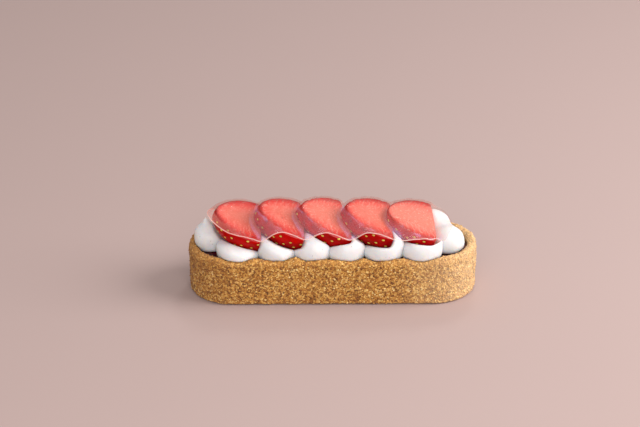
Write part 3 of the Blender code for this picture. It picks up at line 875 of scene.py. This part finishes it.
def freeShape(name, blob, angles):  # the blob as the nozzle leaves it, squeezed by the blobs beside it
    look = creamLook
    outline = curveThrough(look["peaked" if name == "cream_left" else "outline"], look["rows"] + 1)
    wide, high = np.clip(outline[:, 0], 0.0, 1.0), np.clip(outline[:, 1], 0.0, 1.0)
    wide = wide ** np.where(high > 0.3, 1.0 + (blob.point - 1.0) * smoothShare(0.3, 0.5, high), 1.0)
    plump = 1.0 if name in ("cream_left", "cream_right") else look["plump"]
    rows = []
    for w, h in zip(wide[1:-1], high[1:-1]):
        dx = plump * blob.radius * w * np.cos(angles) + blob.lean * smoothShare(0.2, 1.0, np.array(h))
        dy = blob.radius * w * np.sin(angles)
        heading = np.arctan2(dy, dx)
        reach = softLeast(np.hypot(dx, dy) + 1e-6, roomBeside(blob, heading))
        rows.append(np.stack([blob.x + reach * np.cos(heading), blob.y + reach * np.sin(heading),
                              np.full(len(angles), look["foot"] + h * blob.height)], axis=1))
    return np.array(rows)


def pressIn(grid, start, obstacles):  # stops the cream short of the fruit and the rim
    for row in grid:
        for point in row:
            aim = Vector(point) - start
            length = nearest = aim.length
            for tree in obstacles:
                distance = tree.ray_cast(start, aim.normalized(), length + 1.5)[3]
                if distance is not None:
                    nearest = min(nearest, softLeast(length, max(distance - creamLook["lift"], 0.3)))
            point[:] = start + aim * (nearest / length)


def softened(grid, rounds):  # evens out the lips that the fruit has pressed
    for _ in range(rounds):
        around = (np.roll(grid, 1, axis=1) + np.roll(grid, -1, axis=1)) / 2
        beside = around.copy()
        beside[1:-1] = (grid[2:] + grid[:-2]) / 2
        grid = 0.4 * grid + 0.3 * around + 0.3 * beside
    return grid


def foldIn(grid, blob, angles):  # slow waves and fine folds round the nozzle's path
    look = creamLook
    seed = Vector((blob.x, blob.y, 0.0))
    heart = Vector((blob.x, blob.y, look["foot"] + 0.3 * blob.height))
    for i, row in enumerate(grid):
        for point, angle in zip(row, angles):
            place = Vector(point)
            turn = angle + look["foldTurn"] * i / len(grid)
            folds = look["foldCount"]
            spiral = Vector((folds * math.cos(turn), folds * math.sin(turn), 0.12 * i))
            push = look["wave"] * noise.noise(place / look["waveSize"] + seed)
            push += look["fold"] * noise.noise(spiral + seed)
            point += np.array((place - heart).normalized()) * push


def makeCream(name, blob, finish, obstacles):
    look = creamLook
    count = look["sides"]
    angles = np.linspace(0.0, 2 * np.pi, count, endpoint=False)
    grid = freeShape(name, blob, angles)
    pressIn(grid, Vector((blob.x + 0.7 * blob.lean, blob.y, look["foot"] - 1.5)), obstacles)
    grid = softened(grid, look["soften"])
    if name == "cream_left":  # the small tail that the nozzle leaves
        off = np.hypot(grid[..., 0] - grid[-1, :, 0].mean(), grid[..., 1] - grid[-1, :, 1].mean())
        upper = grid[..., 2] > look["foot"] + 5.0
        grid[..., 2] += look["tail"] * np.exp(-(off / look["tailWidth"]) ** 2) * upper
    foldIn(grid, blob, angles)
    points = list(grid.reshape(-1, 3))
    foot, tip = len(points), len(points) + 1
    points += [np.array([blob.x, blob.y, look["foot"]]), grid[-1].mean(axis=0) + [0, 0, 0.12]]
    faces = gridFaces(len(grid), count, True)
    last = (len(grid) - 1) * count
    faces += [((i + 1) % count, i, foot) for i in range(count)]
    faces += [(last + i, last + (i + 1) % count, tip) for i in range(count)]
    piece = newPiece(name.replace("cream", "piped_cream"), points, faces, finish)
    faceOutwards(piece)
    return piece


presses = [berryShell(berry, 0.05, rise) for berry, rise in zip(berryLook["berries"], creamLook["lipRise"])]
bodies = [berryShell(berry, 0.05) for berry in berryLook["berries"]]
rimTree = treeOf(crust)
creamWhite = creamFinish()
creams = {}
for name, blob in creamLook["blobs"].items():
    beside = presses if blob.y < 0.0 else bodies
    near = [tree for tree, berry in zip(beside, berryLook["berries"])
            if berry.tip[0] - blob.radius - 4 < blob.x < berry.tip[0] + berry.length + blob.radius + 4]
    creams[name] = makeCream(name, blob, creamWhite, near + [rimTree])


def fuse(one, other, look):  # two touching blobs as one soft mass
    made = bmesh.new()
    made.from_mesh(one.data)
    made.from_mesh(other.data)
    bmesh.ops.create_icosphere(made, subdivisions=4, radius=look["bridgeSize"] * mm,
                               matrix=Matrix.Translation(Vector(look["bridge"]) * mm))
    made.to_mesh(one.data)
    made.free()
    bpy.data.objects.remove(other)
    remesh = one.modifiers.new("fuse", "REMESH")
    remesh.mode = "VOXEL"
    remesh.voxel_size = look["voxel"] * mm
    smooth = one.modifiers.new("soften", "SMOOTH")
    smooth.factor, smooth.iterations = 0.6, look["fuseRounds"]
    data = bpy.data.meshes.new_from_object(one.evaluated_get(bpy.context.evaluated_depsgraph_get()))
    one.modifiers.clear()
    one.data = data
    data.shade_smooth()


fuse(creams["cream_right"], creams.pop("cream_back_6"), creamLook)
print("cream", sum(len(piece.data.polygons) for piece in creams.values()))


# jelly veil
veilLook = {
    "left": -56.0, "right": 54.0, "front": -15.6, "back": 14.8, "thickness": 0.36,
    "cell": 1.5, "stiffness": 4.4, "cling": 15.0, "reach": 6.5, "dry": 6.0, "clear": 0.28,
    "columns": 300, "rows": 84, "inset": 0.12, "bow": 0.030, "rounds": 40,
    "ruffle": 0.7, "ruffleDepth": 4.0, "ripple": 0.05, "rippleSize": 3.0,
    "edgeWidth": 0.30, "clearance": (0.5, 3.4), "slope": (0.92, 0.62),   # where the jelly looks milky: partly its own haze, partly painted light, a bright rim, a lighter coral film over the shaded gaps and sheen on the slopes
}


def drape(inside, tops, wet, look):  # rest shape of a thin heavy sheet on fixed supports
    index = -np.ones(inside.shape, int)
    index[inside] = np.arange(inside.sum())
    count = int(inside.sum())
    bending = np.zeros((count, count))
    for cells, weights in ((((-1, 0), (0, 0), (1, 0)), (1.0, -2.0, 1.0)),
                           (((0, -1), (0, 0), (0, 1)), (1.0, -2.0, 1.0)),
                           (((0, 0), (1, 0), (0, 1), (1, 1)), (1.414, -1.414, -1.414, 1.414))):
        for i, j in zip(*np.nonzero(inside)):
            rows = [index[i + di, j + dj] for di, dj in cells]
            if min(rows) >= 0:
                bending[np.ix_(rows, rows)] += np.outer(weights, weights)
    bending *= look["stiffness"] ** 3 / look["cell"] ** 2
    weight = look["cell"] ** 2
    floor = tops[inside]
    height = floor
    for _ in range(look["rounds"]):
        near = wet[inside] * (1.0 - smoothShare(0.5 * look["reach"], look["reach"], height - floor))
        touching = 1e4 * (height <= floor + 1e-6)
        load = touching * floor - weight * (1.0 + look["cling"] * near)
        height = np.linalg.solve(bending + np.diag(touching + 1e-6), load)
    return np.maximum(height, floor)


def veilHeights(look, support):
    middle, radius = (look["front"] + look["back"]) / 2, (look["back"] - look["front"]) / 2
    cell = look["cell"]
    xs = np.arange(look["left"] - 2 * cell, look["right"] + 3 * cell, cell)
    ys = np.arange(look["front"] - 2 * cell, look["back"] + 3 * cell, cell)
    x, y = np.meshgrid(xs, ys, indexing="ij")
    past = np.maximum(look["left"] + radius - x, 0.0) + np.maximum(x - look["right"] + radius, 0.0)
    inside = np.hypot(past, y - middle) < radius + 1.2 * cell
    tops = np.full(x.shape, jamLook["top"])
    for i, j in zip(*np.nonzero(inside)):
        for dx in (-0.5, 0.0, 0.5):
            for dy in (-0.5, 0.0, 0.5):
                start = Vector((xs[i] + dx * cell, ys[j] + dy * cell, 90.0))
                hit = support.ray_cast(start, Vector((0, 0, -1)))[0]
                if hit is not None:
                    tops[i, j] = max(tops[i, j], hit.z)
    wet = np.outer(xs > berryLook["berries"][0].tip[0] + look["dry"], np.ones(len(ys)))
    heights = np.where(inside, 0.0, np.nan)
    heights[inside] = drape(inside, tops + look["clear"], wet, look)
    while np.isnan(heights).any():  # carries the edge outwards, so that the curves through it have neighbours
        padded = np.pad(heights, 1, constant_values=np.nan)
        shifted = np.stack([padded[1 + a:padded.shape[0] - 1 + a, 1 + b:padded.shape[1] - 1 + b]
                            for a in (-1, 0, 1) for b in (-1, 0, 1)])
        known = np.nan_to_num(shifted).sum(axis=0) / np.maximum((~np.isnan(shifted)).sum(axis=0), 1)
        found = (~np.isnan(shifted)).any(axis=0) & np.isnan(heights)
        heights[found] = known[found]
    return xs, ys, heights


def cubicWeights(t):
    return np.stack([-0.5 * t + t ** 2 - 0.5 * t ** 3, 1 - 2.5 * t ** 2 + 1.5 * t ** 3,
                     0.5 * t + 2 * t ** 2 - 1.5 * t ** 3, -0.5 * t ** 2 + 0.5 * t ** 3])


def smoothHeights(xs, ys, heights, x, y):  # curved surface through the grid
    u, v = (x - xs[0]) / (xs[1] - xs[0]), (y - ys[0]) / (ys[1] - ys[0])
    i = np.clip(u.astype(int), 1, len(xs) - 3)
    j = np.clip(v.astype(int), 1, len(ys) - 3)
    wu, wv = cubicWeights(u - i), cubicWeights(v - j)
    out = np.zeros(x.shape)
    for a in range(4):
        for b in range(4):
            out += wu[a] * wv[b] * heights[i + a - 1, j + b - 1]
    return out


def veilFinish():
    web = Finish("clear jelly")
    edge, steep = web.attribute("edge"), web.attribute("steep")
    ripple = web.noise(web.place, 4.0, 2.0, 0.5)
    fine = web.noise(web.place, 0.9, 2.0, 0.5)
    normal = web.bump(ripple, 0.25, 0.35, web.bump(fine, 0.04, 0.3))
    facing = web.make("ShaderNodeLayerWeight", {}, {"Blend": 0.5, "Normal": normal}, "Facing")
    cloud = web.noise(web.place, 9.0, 3.0, 0.6).between(0.35, 0.75)
    # painted light, partly the jelly's own haze: coral film lifting the shade over the gaps, mauve sheen on
    # the slopes, a pale bright rim
    colour = web.mix(steep.between(0.0, 0.5), rgb(0.97, 0.40, 0.33), rgb(0.90, 0.58, 0.86))
    colour = web.mix(edge, colour, rgb(0.98, 0.66, 0.59))
    hazeAndPaintedLight = 0.003 + 0.008 * cloud + 0.06 * web.attribute("clearance")
    hazeAndPaintedLight = (hazeAndPaintedLight + 0.20 * steep + 0.12 * facing ** 3.0 + 0.32 * edge) * web.attribute("haze")
    film = web.principled({
        "Base Color": colour, "Roughness": 0.07, "Normal": normal, "Specular IOR Level": 0.5,
        "Subsurface Weight": 0.3, "Subsurface Radius": (1.0, 0.5, 0.4), "Subsurface Scale": 1.0 * mm})
    gap = web.make("ShaderNodeBsdfTransparent", {}, {"Color": rgb(0.985, 0.955, 0.945)})
    return web.show(web.make("ShaderNodeMixShader", {}, {0: hazeAndPaintedLight, 1: gap, 2: film}))


def makeVeil(look, support):
    xs, ys, heights = veilHeights(look, support)
    middle, radius = (look["front"] + look["back"]) / 2, (look["back"] - look["front"]) / 2
    columns, rows = look["columns"], look["rows"]
    share = np.linspace(0.0, 1.0, columns + 1)
    bow = look["bow"] * np.sin(4 * np.pi * share) / np.pi
    x = look["left"] + look["inset"] + (look["right"] - look["left"] - 2 * look["inset"]) * (share - bow)
    past = np.maximum(np.maximum(look["left"] + radius - x, x - look["right"] + radius), 0.0)
    half = np.sqrt(radius ** 2 - past ** 2)
    across = np.sin(np.linspace(-0.5, 0.5, rows + 1) * np.pi * 0.96) / math.sin(0.48 * np.pi)
    gridX = np.repeat(x[:, None], rows + 1, axis=1)
    gridY = middle + half[:, None] * across[None, :]
    z = smoothHeights(xs, ys, heights, gridX, gridY)
    free = smoothShare(look["back"] - look["ruffleDepth"], look["back"], gridY)
    z += look["ruffle"] * free * (1.0 + 0.6 * np.sin(0.31 * gridX + 0.8) + 0.4 * np.sin(0.83 * gridX))
    for i in range(columns + 1):
        for j in range(rows + 1):
            place = Vector((gridX[i, j] / look["rippleSize"], gridY[i, j] / look["rippleSize"], 4.0))
            z[i, j] += look["ripple"] * noise.noise(place)
    under = np.stack([gridX, gridY, z], axis=2)
    slopeX, slopeY = np.gradient(under, axis=0), np.gradient(under, axis=1)
    normal = np.cross(slopeX, slopeY)
    normal /= np.linalg.norm(normal, axis=2, keepdims=True)
    over = under + normal * look["thickness"]
    rim = [(i, 0) for i in range(columns + 1)] + [(columns, j) for j in range(1, rows + 1)]
    rim += [(i, rows) for i in range(columns - 1, -1, -1)] + [(0, j) for j in range(rows - 1, 0, -1)]
    count = (columns + 1) * (rows + 1)
    points = list(under.reshape(-1, 3)) + list(over.reshape(-1, 3))
    lower = gridFaces(columns + 1, rows + 1, False)
    faces = [face[::-1] for face in lower] + [tuple(i + count for i in face) for face in lower]
    first = len(points)
    turns = np.linspace(0.0, np.pi, 6)[1:-1]
    tangents = np.array([points[i * (rows + 1) + j] for i, j in rim])
    along = np.roll(tangents, -1, axis=0) - np.roll(tangents, 1, axis=0)
    outward = np.cross(along, np.array([normal[i, j] for i, j in rim]))
    outward /= np.linalg.norm(outward, axis=1, keepdims=True)
    for turn in turns:  # the rounded edge
        for (i, j), out in zip(rim, outward):
            centre = (under[i, j] + over[i, j]) / 2
            way = math.sin(turn) * out - math.cos(turn) * normal[i, j]
            points.append(centre + look["thickness"] / 2 * way)
    size = len(rim)
    bands = [[i * (rows + 1) + j for i, j in rim]]
    bands += [list(range(first + k * size, first + (k + 1) * size)) for k in range(len(turns))]
    bands.append([count + i * (rows + 1) + j for i, j in rim])
    for low, high in zip(bands, bands[1:]):
        for k in range(size):
            after = (k + 1) % size
            faces.append((low[k], low[after], high[after], high[k]))
    piece = newPiece("jelly_sheet", points, faces, veilFinish())
    inset = np.minimum(half[:, None] * (1 - np.abs(across))[None, :],
                       np.minimum(gridX - look["left"], look["right"] - gridX) + 0 * gridY)
    # where the painted light goes: a bright rim, milk over the shaded gaps, sheen on the steep slopes in
    # front
    edge = (1.0 - smoothShare(0.0, look["edgeWidth"], inset)).ravel()
    clearance = np.array([min(support.ray_cast(Vector(p), Vector((0, 0, -1)))[3] or 9.0, 9.0)
                          for p in under.reshape(-1, 3)])
    away = smoothShare(*look["clearance"], clearance)
    steep = smoothShare(*look["slope"], normal[..., 2]) * (0.15 + 0.85 * smoothShare(4.0, -6.0, gridY))
    steep = steep.ravel() * (1.0 - 0.8 * away)
    for label, values, onRim in (("edge", edge, 1.0), ("clearance", away, 1.0), ("steep", steep, 0.0)):
        storeNumbers(piece, label, np.concatenate([values, values, np.full(size * len(turns), onRim)]))
    along = np.array([p[0] for p in points])
    haze = 1.0 - 0.85 * smoothShare(look["right"] - 9.0, look["right"] - 3.0, along)
    haze += 1.2 * smoothShare(look["left"] + 9.0, look["left"] + 2.0, along)
    storeNumbers(piece, "haze", haze)
    faceOutwards(piece)
    return piece


veil = makeVeil(veilLook, treeOf(*berries, *creams.values()))
veil.visible_shadow = False
print("veil", len(veil.data.polygons))


seeds = makeSeeds(seedLook, treeOf(veil))
print("seeds", len(seeds.data.polygons))


# vanilla specks in the jelly
speckLook = {"perArea": 0.020e6, "spacing": 1.6, "smallest": 0.20, "largest": 0.50}


def speckFinish():
    web = Finish("vanilla speck")
    shade = web.noise(web.place, 0.4, 1.0, 0.5)
    colour = web.ramp(shade, [(0.3, (0.018, 0.010, 0.008)), (0.7, (0.07, 0.040, 0.028))])
    return web.show(web.principled({"Base Color": colour, "Roughness": shade * 0.3 + 0.3}))


speckShape = grainShape("speck shape", 0.7, 8.0, 0.3)
vanilla = speckFinish()


def makeSpecks(host, name, seed, amount):
    up = np.array([v.normal.z for v in host.data.vertices])
    clumps = np.array([noise.noise(v.co / (12 * mm) + Vector((seed, 0, 0))) for v in host.data.vertices])
    share = smoothShare(0.05, 0.5, up) * amount * (0.35 + smoothShare(-0.1, 0.35, clumps))
    storeNumbers(host, "grainShare", share)
    return runTree(crumbTree, host, name, {
        "Grain": speckShape, "Per Area": speckLook["perArea"], "Spacing": speckLook["spacing"] * mm,
        "Smallest": speckLook["smallest"] * mm, "Largest": speckLook["largest"] * mm, "Flatness": 0.6,
        "Seed": seed, "Finish": vanilla})


specks = makeSpecks(veil, "jelly_specks", 3, 1.8)
print("specks", len(specks.data.polygons))


# what rides and what it stands for
for piece, node, slot in [(crust, "crust", "baked_crumb"), (jam, "jam", "berry_jam"),
                          (veil, "jelly_veil", "clear_jelly")]:
    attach(piece, "root")
    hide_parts(node)
for name, piece in creams.items():
    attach(piece, "root")
    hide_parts(*([name, "cream_back_6"] if name == "cream_right" else [name]))
for number, piece in enumerate(berries, start=1):
    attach(piece, "root")
    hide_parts(f"strawberry_{number}")
for piece, slot in [(grains, "baked_crumb"), (seeds, "strawberry"), (specks, "clear_jelly")]:
    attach(piece, "root")


# floor, light and camera
stageLook = {
    "floor": (0.445, 0.335, 0.313), "size": 3.0, "height": -0.0004, "aim": (0.0, 0.0, 0.02),
    "world": (1.0, 0.95, 0.94, 1.0), "worldStrength": 0.50,
    # place, size, power, colour
    "lights": {
        "window light": ((0.85, -0.10, 0.60), 0.80, 12.0, (1.0, 0.985, 0.98)),
        "soft front light": ((0.0, -0.95, 0.55), 1.0, 7.0, (1.0, 0.97, 0.95)),
        "soft back light": ((0.20, 0.80, 0.95), 0.25, 1.8, (1.0, 0.98, 0.97)),
    },
}


def makeFloor(look):
    half = look["size"] / 2
    corners = [(-half, -half, 0), (half, -half, 0), (half, half, 0), (-half, half, 0)]
    data = bpy.data.meshes.new("floor")
    data.from_pydata(corners, [], [(0, 1, 2, 3)])
    web = Finish("plain floor")
    tint = web.mix(web.noise(web.place, 60.0, 2.0, 0.5) * 0.12, rgb(*look["floor"]),
                   rgb(*(0.94 * c for c in look["floor"])))
    data.materials.append(web.show(web.principled({
        "Base Color": tint, "Roughness": 0.7, "Specular IOR Level": 0.2})))
    floor = newObject("floor", data)
    floor.location.z = look["height"]


def addLight(name, place, size, power, colour):
    data = bpy.data.lights.new(name, "AREA")
    data.shape = "DISK"
    data.size = size
    data.energy = power
    data.color = colour
    light = newObject(name, data)
    light.location = place
    light.rotation_euler = (Vector(stageLook["aim"]) - Vector(place)).to_track_quat("-Z", "Y").to_euler()


makeFloor(stageLook)
for name, settings in stageLook["lights"].items():
    addLight(name, *settings)
world = bpy.data.worlds.new("soft room")
world.use_nodes = True
room = world.node_tree.nodes["Background"]
room.inputs["Color"].default_value = stageLook["world"]
room.inputs["Strength"].default_value = stageLook["worldStrength"]
bpy.context.scene.world = world
bpy.context.scene.view_settings.view_transform = "Standard"

cameraLook = {"lens": 93.7, "place": (-0.5, -669.3, 369.0), "pitch": 26.48, "yaw": -0.43, "roll": -0.48}


def makeCamera(look):
    pitch, yaw, roll = (math.radians(look[k]) for k in ("pitch", "yaw", "roll"))
    ahead = Vector((math.sin(yaw) * math.cos(pitch), math.cos(yaw) * math.cos(pitch), -math.sin(pitch)))
    right = Vector((math.cos(yaw), -math.sin(yaw), 0.0))
    up = right.cross(ahead)
    side = math.cos(roll) * right + math.sin(roll) * up
    top = math.cos(roll) * up - math.sin(roll) * right
    data = bpy.data.cameras.new("camera")
    data.lens = look["lens"]
    data.sensor_width = 36.0
    data.clip_start, data.clip_end = 0.01, 10.0
    camera = newObject("camera", data)
    place = Matrix((side, top, -ahead)).transposed().to_4x4()
    place.translation = Vector(look["place"]) * mm
    camera.matrix_world = place
    bpy.context.scene.camera = camera


makeCamera(cameraLook)
print("stage ready")
